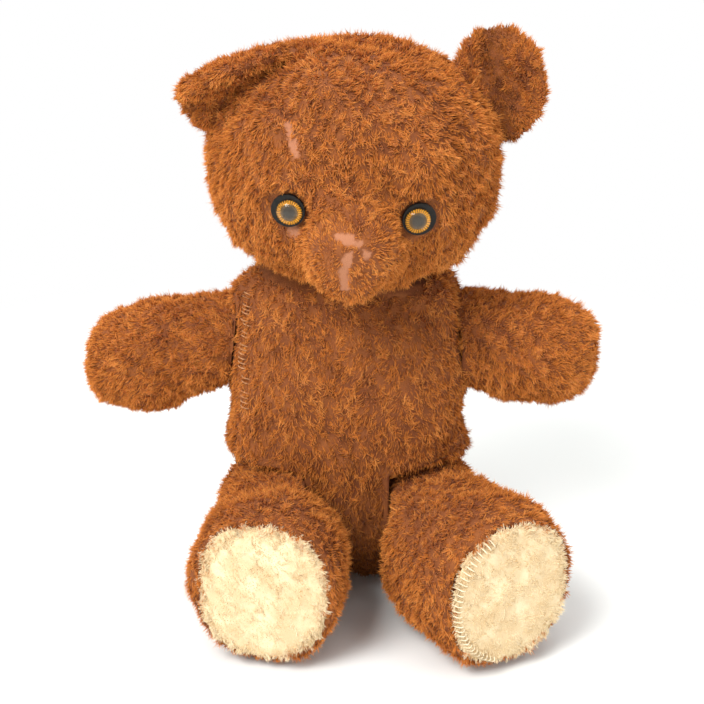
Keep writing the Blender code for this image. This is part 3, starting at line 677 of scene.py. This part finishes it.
def from_muzzle(roots):
    """The pile lies back from the muzzle's end, and hangs down over the brow and the sides."""
    away = roots - np.array((0.003, -0.125, 0.226))
    near = (1 - ease(np.linalg.norm(away, axis=1), 0.030, 0.062))[:, None]
    return unit(away) * near + np.array((0, -0.15, -1.0)) * (1 - near) + 0.3 * Lumps(34, 0.04).slope(roots)


head.swell(Lumps(22, 0.036), 0.0009)
head.swell(Lumps(29, 0.017), 0.0008, ease(np.abs(head.corners[:, 0]), 0.035, 0.065), (1.0, 1.0, 0.22))
head.corners = sink_eyes(head.corners)
head.measure()
skin_piece("head_skin", head, "head", ("head_cover", "head_filling"), head_worn)
pile("head_pile", strands(head, many(105_000), 0.0048, from_muzzle, 42, head_cover), PLUSH, "head")

# %% [markdown]
# ## The ears
# Each ear is a padded oval folded lengthways. One stands up; the other is bent down over its own hollow.

# %%
"""The ears' skins and pile."""
EAR_PLACES = {
    "right": ((-0.0690, -0.010, 0.1085), (-0.93, -0.20, -0.40), (-0.26, -0.55, 0.74)),
    "left": ((0.0745, 0.004, 0.110), (-0.22, 0.10, 0.97), (1.0, 0.10, 0.20)),
}


EAR_HALF_THICKNESS = {"right": 0.0088, "left": 0.0050}


def ear_frame(side):
    """An ear's middle, and the ways that its length, width and front face."""
    middle, length, width = (np.array(values, float) for values in EAR_PLACES[side])
    length = unit(length)
    width = unit(width - length * (length @ width))
    front = np.cross(length, width)
    return middle, length, width, front * (1 if front[1] < 0 else -1)


def ear_point(side):
    """A padded oval whose two lobes come forward from the fold between them."""
    middle, length, width, front = ear_frame(side)

    def point(share, angle):
        level = math.pi * (share - 0.5)
        x, y = squared(angle, 2.3)
        x, y = np.cos(level) * x, np.cos(level) * y
        lobe = 0.60 * 0.0245 * (y * y + 0.05) ** 0.65
        thick = EAR_HALF_THICKNESS[side] * np.sign(np.sin(level)) * np.abs(np.sin(level)) ** 0.7
        flat = length * (0.0312 * x)[:, None] + width * (0.0245 * y)[:, None]
        return from_neck(middle + flat + front * (lobe + thick)[:, None])

    return point


def ear_comb(side):
    """The pile on an ear lies towards its tip, and outwards."""
    middle, length, width, front = ear_frame(side)

    def comb(roots):
        local = to_neck(roots) - middle
        return (length * 0.6 + unit(local)) @ NECK_AXES

    return comb


def ear_cover(side):
    """The pile's share of its length on an ear: thin in the hollow and along the bare inner seam."""
    middle, length, width, front = ear_frame(side)

    def cover(roots):
        local = to_neck(roots) - middle
        x, y, z = local @ length, local @ width, local @ front
        hollow = np.exp(-((y / 0.006) ** 2)) * (z > 0.60 * 0.0245 * 0.14)
        share = 1 - 0.3 * hollow
        share = share * (1 - 0.9 * near_line(roots, EAR_SEAMS[side], 0.0030))
        ways = unit(to_neck(roots) - HEAD_MIDDLE)
        buried = np.linalg.norm(to_neck(roots) - HEAD_MIDDLE, axis=1) < head_reach(ways) - 0.001
        return np.where(buried, 0, share)

    return cover


def ear_painted_shade(side):
    """Painted shade: the pile is duller down in the fold."""
    middle, length, width, front = ear_frame(side)

    def painted_shade(roots):
        local = to_neck(roots) - middle
        inside = (local @ front) < 0.60 * 0.0245 * 0.55
        return 0.5 * np.exp(-((local @ width / 0.010) ** 2)) * inside

    return painted_shade


EAR_SEAMS = {"left": [(0.0755, -0.020, 0.331), (0.0690, -0.026, 0.318), (0.0640, -0.030, 0.306)],
             "right": [(-0.045, -0.030, 0.312), (-0.047, -0.032, 0.300)]}

for side in SIGNS:
    ear = Skin(ear_point(side), 44, 72)
    ear.swell(Lumps(23, 0.020), 0.0006)
    seam = EAR_SEAMS[side]
    skin_piece(f"{side}_ear_skin", ear, "head", (f"{side}_ear",),
               lambda places, seam=seam: near_line(places, seam, 0.0030))
    made = strands(ear, many(16_000), 0.0042, ear_comb(side), 43 + SIGNS[side], ear_cover(side), painted_shade=ear_painted_shade(side))
    pile(f"{side}_ear_pile", made, PLUSH, "head")

# %% [markdown]
# ## The eyes
# An eye is a clear glass dome over a disc painted amber, with fine ridges that run out from the black pupil. It
# sits on a black backing, which stays as it was engineered.

# %%
"""The irises, the pupils and the glass."""
EYE_RADIUS = 0.0072
EYE_INWARDS = 0.0011  # how far the glass sits from its backing's middle, towards the nose


def iris_material():
    """Amber that darkens to its rim, with rays and a black pupil, all from the eye's own map."""
    made, shader, term = material("iris", Roughness=0.35)
    spot = term.make("ShaderNodeUVMap", {"uv_map": "OFBake"})
    split = term.make("ShaderNodeSeparateXYZ", None, {0: spot})
    x = split - 0.5
    y = Term(split.tree, split.socket.node.outputs[1]) - 0.5
    away = (x * x + y * y) ** 0.5 * 2.1
    turn = term.maths("ARCTAN2", y, x)
    rays = (term.maths("SINE", turn * 30.0) * 0.5 + 0.5).step(0.05, 0.5)
    fine = term.make("ShaderNodeTexNoise", None, {"Vector": spot, "Scale": 26.0, "Detail": 4.0})
    amber = (rays * 0.75 + fine * 0.5 - 0.12).between((0.10, 0.030, 0.002), (0.95, 0.42, 0.008))
    rim = away.step(0.90, 1.0).between(amber, (0.10, 0.024, 0.002))
    inner = away.step(0.30, 0.56).between((0.030, 0.020, 0.012), (0.14, 0.075, 0.020))
    pupil = away.step(0.54, 0.62).between(inner, rim)
    join(pupil, shader, "Base Color")
    return made


def glass_material():
    """Clear glass."""
    made, _, _ = material("eye_glass_clear", Roughness=0.02, IOR=1.33, Transmission_Weight=1.0)
    made.node_tree.nodes["Principled BSDF"].inputs["Base Color"].default_value = (1.0, 0.96, 0.88, 1.0)
    return made


def eye_disc(share, angle, low, rise, radius, ridge=0.0):
    """A round lens: flat below, and above it a dome whose height is rise * sqrt(1 - r^2), with fine rays."""
    top = share > 0.5
    away = np.where(top, np.sin(math.pi * share), np.sin(math.pi * share) ** 0.6)
    ray = ridge * np.cos(30 * angle) * ease(away, 0.45, 0.6) * (1 - ease(away, 0.9, 1.0))
    height = low + np.where(top, 0.0004 + rise * np.sqrt(np.clip(1 - away**2, 0, 1)) + ray, 0)
    return np.stack([away * radius * np.cos(angle), away * radius * np.sin(angle), height], -1)


IRIS, GLASS = iris_material(), glass_material()
for side, (origin, own) in EYES.items():
    def placed(local):
        """From an eye's frame to the bear's."""
        inwards = np.array((-SIGNS[side] * EYE_INWARDS, 0.0, -0.0004))
        return from_neck(local @ own + origin + inwards)

    iris = Skin(lambda s, a: eye_disc(s, a, 0.0024, 0.0004, EYE_RADIUS - 0.0006, 0.00010), 40, 184)
    flat = iris.corners[:, :2] / EYE_RADIUS / 2.1 + 0.5
    piece = new_piece(f"{side}_eye_iris", placed(iris.corners), iris.faces, IRIS, "head", flat[iris.faces])
    dome = Skin(lambda s, a: eye_disc(s, a, 0.0022, 0.0052, EYE_RADIUS), 40, 64)
    piece = new_piece(f"{side}_eye_dome", placed(dome.corners), dome.faces, GLASS, "head")
    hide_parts(f"{side}_eye_glass")

# %% [markdown]
# ## The arms
# Each arm is a short club that leaves its disc at an angle, so that turning it sweeps a cone.

# %%
"""The arms' skins and pile."""
ARM_TURNS = {"right": math.radians(250), "left": math.radians(30)}
ARM_LENGTH = 0.088
ARM_DROPS = {"right": 0.0070, "left": 0.0015}  # how far the paw sags
ARM_SPANS = {"right": (0.0245, 0.0640), "left": (0.0205, 0.0600)}  # middle and half length


def arm_axes(side):
    """The arm's own axes in the bear's frame, turned on its disc to where it rests."""
    turn = ARM_TURNS[side]
    spin = np.array(((math.cos(turn), math.sin(turn), 0), (-math.sin(turn), math.cos(turn), 0), (0, 0, 1)))
    return spin @ SHOULDER_AXES[side]


def arm_point(side):
    """A club: a radius that grows to the paw, times a rounded length, along a line 15 degrees off the joint."""
    own = arm_axes(side)
    bend = math.radians(15)
    way = np.array((math.sin(bend), 0, math.cos(bend)))
    beside = np.array((0.0, 1.0, 0.0))
    up = np.cross(way, beside)

    def point(share, angle):
        place = -np.cos(math.pi * share)
        middle, half = ARM_SPANS[side]
        reach = middle + (half - SKIN_DEPTH) * place
        radius = along(reach, ((0.0, 0.0295), (ARM_LENGTH * 0.7, 0.0345))) - SKIN_DEPTH
        radius = radius * rounded(place, 3.2)
        places = way * reach[:, None] + beside * (radius * np.cos(angle))[:, None]
        places = places + up * (radius * np.sin(angle))[:, None]
        places[:, 2] = np.maximum(places[:, 2], 0.0004)
        return places @ own + SHOULDER[side] - np.array((0, 0, ARM_DROPS[side])) * ease(reach, 0.01, 0.07)[:, None]

    return point


ARM_SEAMS = {
    "right": [(-0.152, -0.026, 0.152), (-0.138, -0.028, 0.172), (-0.110, -0.022, 0.184), (-0.076, -0.012, 0.179)],
    "left": [(0.128, -0.020, 0.187), (0.143, -0.030, 0.172), (0.149, -0.034, 0.150)],
}


def arm_cover(side):
    """The pile's share of its length on an arm: none on the joint's face, and worn along the seam."""

    def cover(roots):
        local = (roots - SHOULDER[side]) @ SHOULDER_AXES[side].T
        share = ease(local[:, 2], 0.0006, 0.003)
        return share * (1 - 0.8 * near_line(roots, ARM_SEAMS[side], 0.0034))

    return cover


def arm_comb(side):
    """The pile on an arm lies towards the paw and hangs a little."""
    way = SHOULDER_AXES[side][2]
    return lambda roots: way + np.array((0, 0, -0.55)) + 0.4 * Lumps(32, 0.05).slope(roots)


for side in SIGNS:
    arm = Skin(arm_point(side), 70, 96)
    arm.swell(Lumps(24 + SIGNS[side], 0.036), 0.0010)
    seam = ARM_SEAMS[side]
    skin_piece(f"{side}_arm_skin", arm, f"{side}_arm", (f"{side}_arm_cover", f"{side}_arm_filling"),
               lambda places, seam=seam: near_line(places, seam, 0.0024))
    made = strands(arm, many(36_000), 0.0043, arm_comb(side), 51 + SIGNS[side], arm_cover(side))
    pile(f"{side}_arm_pile", made, PLUSH, f"{side}_arm")

# %% [markdown]
# ## The legs
# A leg starts round under the belly, where it turns on the hip's disc, and runs forward along a curve to the flat
# sole. The sole is cut out for a pale pad.

# %%
"""The legs' skins and pile."""
FOOT_OUT = {"right": 0.0455, "left": 0.0890}
LEG_SPLAY = {"right": math.radians(9), "left": math.radians(27)}
LEG_REACH, THIGH_RADIUS, THIGH_OUT = 0.106, 0.041, 0.018
FOOT_HALF_HEIGHT, FOOT_FLOOR = 0.048, 0.0003
LEG_WIDTHS = {"right": ((0.0, 0.036), (0.050, 0.0425), (LEG_REACH, 0.0445)),
              "left": ((0.0, 0.036), (0.050, 0.0470), (LEG_REACH, 0.0450))}


def leg_line(side, share):
    """A cubic curve seen from above: (forward, outward) from the hip, and the way it points."""
    share = np.asarray(share, float)[..., None]
    splay = LEG_SPLAY[side]
    end = np.array((LEG_REACH, FOOT_OUT[side] - 0.025))
    start, second = np.array((-THIGH_RADIUS, THIGH_OUT)), np.array((0.015, THIGH_OUT))
    third = end - np.array((math.cos(splay), math.sin(splay))) * 0.050
    rest = 1 - share
    place = start * rest**3 + second * 3 * rest**2 * share + third * 3 * rest * share**2 + end * share**3
    way = (second - start) * rest**2 + (third - second) * 2 * rest * share + (end - third) * share**2
    return place, unit(way)


def leg_point(side):
    """Half heights and widths that grow along the curve, times a squared circle, closed by the flat sole."""
    sign = SIGNS[side]

    def point(share, angle):
        body = np.clip(share / 0.86, 0, 1)
        sole = np.clip((share - 0.86) / 0.14, 0, 1)
        place, way = leg_line(side, body**1.5)
        forward = place[:, 0]
        tip = rounded(np.maximum(-forward, 0) / THIGH_RADIUS, 2.0)
        grow = along(forward, ((0.036, 0.0), (LEG_REACH - 0.015, 1.0)))
        slack = 0.0030 * (1 - ease(forward, 0.0, 0.06))
        half_height = THIGH_RADIUS + (FOOT_HALF_HEIGHT - THIGH_RADIUS) * grow - SKIN_DEPTH - slack
        half_width = along(forward, LEG_WIDTHS[side]) - SKIN_DEPTH
        round_off = np.sqrt(1 - ease(body, 0.90, 1.0) * 0.13)
        face = (1 - sole) * round_off
        dish = -SKIN_DEPTH - 0.0012 * ease(sole, 0.18, 0.34)
        across, upward = squared(angle, 2.2)
        outward = half_width * np.maximum(tip, 0) ** 0.8 * face * across
        spot = place + np.stack([-way[:, 1], way[:, 0]], -1) * outward[:, None]
        spot = spot + way * (dish * ease(body, 0.9, 1.0))[:, None]
        lift = (FOOT_HALF_HEIGHT + FOOT_FLOOR - 0.044) * grow
        places = np.stack([sign * spot[:, 0 + 1], -spot[:, 0], lift + half_height * tip * face * upward], -1)
        inner = (forward < 0.046) & (sign * places[:, 0] < 0.0005)
        places[:, 0] = np.where(inner, sign * 0.0005, places[:, 0])
        places = places + HIP[side]
        places[:, 2] = np.maximum(places[:, 2], FLOOR)
        return places

    return point


def sole_frame(side):
    """The sole's middle and axes: x is up, y is across and z looks out of the sole."""
    place, way = (values[0] for values in leg_line(side, np.array([1.0])))
    origin = HIP[side] + np.array((SIGNS[side] * place[1], -place[0], FOOT_HALF_HEIGHT + FOOT_FLOOR - 0.044))
    return origin, axes((SIGNS[side] * way[1], -way[0], 0), (0, 0, 1))


def leg_cover(side):
    """The pile's share of its length on a leg: none on the hip's face or under the pad, short on the floor."""
    origin, own = sole_frame(side)

    def cover(roots):
        local = (roots - origin) @ own.T
        away = np.hypot(local[:, 0] / 0.0380, local[:, 1] / 0.0335)
        on_sole = local[:, 2] > -0.006
        share = np.where(on_sole & (away < 0.96), 0.0, 1.0)
        hip = SIGNS[side] * (roots[:, 0] - HIP[side][0])
        ahead = HIP[side][1] - roots[:, 1]
        share = share * np.where(ahead < 0.05, ease(hip, 0.0003, 0.003), 1)
        return share * (0.25 + 0.75 * ease(roots[:, 2], 0.001, 0.008))

    return cover


def leg_comb(side):
    """The pile on a leg lies towards the foot and down its sides."""
    origin, own = sole_frame(side)
    return lambda roots: own[2] * 0.8 + np.array((0, 0, -0.35)) + 0.5 * Lumps(33, 0.05).slope(roots)


for side in SIGNS:
    leg = Skin(leg_point(side), 96, 120)
    leg.swell(Lumps(26 + SIGNS[side], 0.040), 0.0009, ease(leg.corners[:, 2], 0.003, 0.012))
    leg.corners[:, 2] = np.maximum(leg.corners[:, 2], FLOOR)
    leg.measure()
    skin_piece(f"{side}_leg_skin", leg, f"{side}_leg", (f"{side}_leg_cover", f"{side}_leg_filling"))
    made = strands(leg, many(50_000), 0.0042, leg_comb(side), 61 + SIGNS[side], leg_cover(side))
    pile(f"{side}_leg_pile", made, PLUSH, f"{side}_leg")

# %% [markdown]
# ## The foot pads
# Cream felted pile on a slightly domed oval, with a longer fringe where the pad is sewn in.

# %%
"""The pads, their pile and the blanket stitches."""


def pad_point(side):
    """A thin oval cushion: its two faces meet at the edge, and the outer one bulges."""
    origin, own = sole_frame(side)

    def point(share, angle):
        away = np.sin(math.pi * share) ** 0.7
        crown = np.sqrt(np.clip(1 - away**2.6, 0, 1))
        height = np.where(share > 0.5, -0.0012 + 0.0040 * crown, -0.0012 - 0.0008 * crown)
        x, y = squared(angle, 2.5)
        local = np.stack([0.0395 * away * x, 0.0350 * away * y, height], -1)
        return local @ own + origin

    return point


def pad_comb(side):
    """The pad's pile lies outwards from its middle, and down."""
    origin, own = sole_frame(side)
    return lambda roots: unit(roots - origin) + np.array((0, 0, -0.4))


def pad_cover(side):
    """Only the outer face has pile, longest at its edge."""
    origin, own = sole_frame(side)

    def cover(roots):
        local = (roots - origin) @ own.T
        away = np.hypot(local[:, 0] / 0.0380, local[:, 1] / 0.0335)
        return np.where(local[:, 2] > -0.0012, 0.42 + 0.58 * ease(away, 0.86, 1.04), 0)

    return cover


for side in SIGNS:
    pad = Skin(pad_point(side), 44, 96)
    pad.swell(Lumps(28, 0.016), 0.0003)
    skin_piece(f"{side}_pad_skin", pad, f"{side}_leg", (f"{side}_foot_pad",), cloth=PAD_CLOTH)
    made = strands(pad, many(22_000), 0.0034, pad_comb(side), 71 + SIGNS[side], pad_cover(side), lean=0.4,
                   width=0.00034, tone=0.55)
    pile(f"{side}_pad_pile", made, CREAM, f"{side}_leg")

origin, own = sole_frame("left")
turns = np.radians(np.linspace(25, 160, 30))
inner = np.stack([0.0368 * np.cos(turns), 0.0322 * np.sin(turns), np.full(30, 0.0030)], -1)
outer = np.stack([0.0412 * np.cos(turns), 0.0370 * np.sin(turns), np.full(30, -0.0002)], -1)
bow = np.linspace(0, 1, 9)[None, :, None]
paths = (inner[:, None] * (1 - bow) + outer[:, None] * bow
         + np.array((0, 0, 0.0026)) * np.sin(math.pi * bow)) @ own + origin
stitch_corners, stitch_faces = tubes(paths, 0.00032)
new_piece("left_pad_stitches", stitch_corners, stitch_faces, CREAM_THREAD, "left_leg")

# %% [markdown]
# ## The hand stitches on the shoulder
# Slanting stitches go over the torso's edge beside one arm, in a pale thread.

# %%
"""The overcast stitches."""
line = np.array(STITCH_LINE)
steps = np.linspace(0.05, 0.92, 22) * (len(line) - 1)
whole = np.minimum(steps.astype(int), len(line) - 2)
middles = line[whole] * (1 - (steps - whole))[:, None] + line[whole + 1] * (steps - whole)[:, None]
nearest = np.linalg.norm(torso.corners[None] - middles[:, None], axis=2).argmin(axis=1)
middles, facing = torso.corners[nearest], torso.normals[nearest]
slant = unit(np.cross(facing, np.array((0.0, 0.25, 1.0))) + np.array((0, 0, 0.35)))
bow = np.linspace(-1, 1, 9)[None, :, None]
paths = middles[:, None] + slant[:, None] * bow * 0.0034 + facing[:, None] * (0.0018 - 0.0022 * bow**2)
stitch_corners, stitch_faces = tubes(paths, 0.00036)
new_piece("shoulder_stitches", stitch_corners, stitch_faces, THREAD, "torso")

# %% [markdown]
# ## The works inside
# The discs, washers, pins and cards keep their engineered shapes, and get card, steel and paint.

# %%
"""Materials for the engineered parts that stay."""
for name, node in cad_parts.items():
    if node.hide_render:
        continue
    chosen = CARD if "disc" in name or "card" in name else EYE_BLACK if "backing" in name else STEEL
    for place in node.material_slots:
        place.material = chosen
print("kept", [name for name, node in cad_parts.items() if not node.hide_render])

# %% [markdown]
# ## The studio
# A pale sweep under broad soft lights, and a long lens a little above the bear.

# %%
"""The floor, the lights and the camera."""


def sweep():
    """A floor that curves up into a wall behind: a wide strip along a rounded corner."""
    across = np.array((-12.0, 12.0))
    bend = np.linspace(0, math.pi / 2, 24)
    deep = np.concatenate([[-12.0], 8.0 + 1.0 * np.sin(bend), [9.0]])
    high = np.concatenate([[0.0], 1.0 - 1.0 * np.cos(bend), [4.0]])
    corners = np.array([(x, y, z) for y, z in zip(deep, high) for x in across])
    rows = np.arange(len(deep) - 1)[:, None] * 2
    faces = np.concatenate([rows + np.array((0, 1, 3)), rows + np.array((0, 3, 2))])
    mesh = bpy.data.meshes.new("studio_floor")
    mesh.from_pydata(corners.tolist(), [], faces.tolist())
    mesh.polygons.foreach_set("use_smooth", np.ones(len(faces), bool))
    floor = bpy.data.objects.new("studio_floor", mesh)
    bpy.context.collection.objects.link(floor)
    made, shader, term = material("studio_paper", Roughness=0.95)
    shader.inputs["Base Color"].default_value = (0.90, 0.92, 0.90, 1.0)
    places = term.make("ShaderNodeTexCoord", output=3)
    away = term.make("ShaderNodeVectorMath", {"operation": "LENGTH"}, {0: places}, 1)
    seen = term.make("ShaderNodeLightPath", output=0)
    glow = term.make("ShaderNodeEmission", None, {"Color": (1.0, 1.0, 1.0, 1.0), "Strength": 1.0})
    shaded = Term(term.tree, shader.outputs[0])
    mixed = term.make("ShaderNodeMixShader", None, {0: away.step(0.20, 0.60) * seen, 1: shaded, 2: glow})
    term.tree.links.new(mixed.socket, term.tree.nodes["Material Output"].inputs["Surface"])
    mesh.materials.append(made)
    return floor


def lamp(name, place, aim, size, power, colour=(1, 1, 1)):
    """A square soft light at place that faces aim."""
    data = bpy.data.lights.new(name, "AREA")
    data.shape, data.size, data.energy, data.color = "SQUARE", size, power, colour
    light = bpy.data.objects.new(name, data)
    bpy.context.collection.objects.link(light)
    light.location = place
    axes_ = axes(np.array(place) - np.array(aim), (1, 0, 0.01))
    light.rotation_euler = Matrix(axes_.T.tolist()).to_euler()
    return light


sweep()
lamp("key", (-0.9, -1.2, 1.6), (0, 0, 0.12), 1.0, 46)
lamp("fill", (1.5, -1.2, 1.0), (0, 0, 0.12), 1.5, 10)
lamp("top", (0.0, 0.5, 2.0), (0, 0, 0.1), 1.6, 20)

world = bpy.data.worlds.new("studio")
bpy.context.scene.world = world
world.use_nodes = True
background = world.node_tree.nodes["Background"]
background.inputs["Color"].default_value = (1.0, 1.0, 1.0, 1.0)
background.inputs["Strength"].default_value = 0.60
sky = Term(world.node_tree, background.outputs[0])
seen = sky.make("ShaderNodeLightPath", output=0)
white = sky.make("ShaderNodeBackground", None, {"Color": (1.0, 1.0, 1.0, 1.0), "Strength": 1.0})
backdrop = sky.make("ShaderNodeMixShader", None, {0: seen, 1: sky, 2: white})
world.node_tree.links.new(backdrop.socket, world.node_tree.nodes["World Output"].inputs["Surface"])

camera_data = bpy.data.cameras.new("camera")
camera_data.lens, camera_data.sensor_width = 72.46, 36.0
camera = bpy.data.objects.new("camera", camera_data)
bpy.context.collection.objects.link(camera)
camera.location = (0.003, -0.7935, 0.4456)
camera.rotation_euler = (math.radians(90 - 21), 0, 0)
bpy.context.scene.camera = camera
bpy.context.scene.view_settings.view_transform = "Standard"

# %%
# The end of the script.
"""The sizes, and the last checks."""
